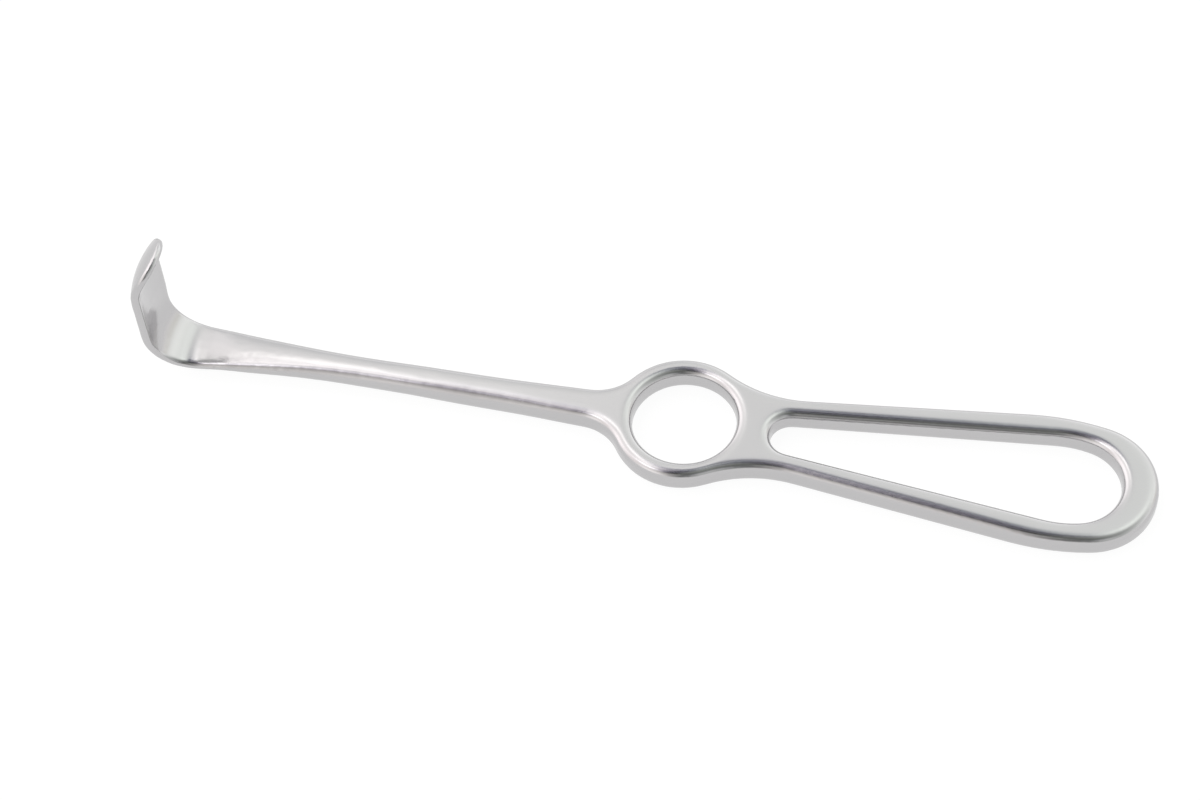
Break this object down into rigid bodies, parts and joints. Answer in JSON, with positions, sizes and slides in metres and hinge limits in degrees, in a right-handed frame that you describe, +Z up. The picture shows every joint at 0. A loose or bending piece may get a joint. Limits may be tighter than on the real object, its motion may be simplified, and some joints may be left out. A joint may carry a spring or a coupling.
{
  "type": "handheld surgical retractor",
  "caption": "Slim steel hand retractor: ring and open loop handle, long tapered shank, and an upright blade with a curled lip.",
  "frame": {"origin": "centre of the finger ring, half way up the handle's thickness", "axes": "+X along the handle to the end of the loop, +Z up through the ring, the way the blade stands"},
  "size_m": [0.2407, 0.0342, 0.0385],
  "materials": {
    "steel": "satin"
  },
  "bodies": {
    "root": {"retractor": "steel"}
  },
  "joints": []
}
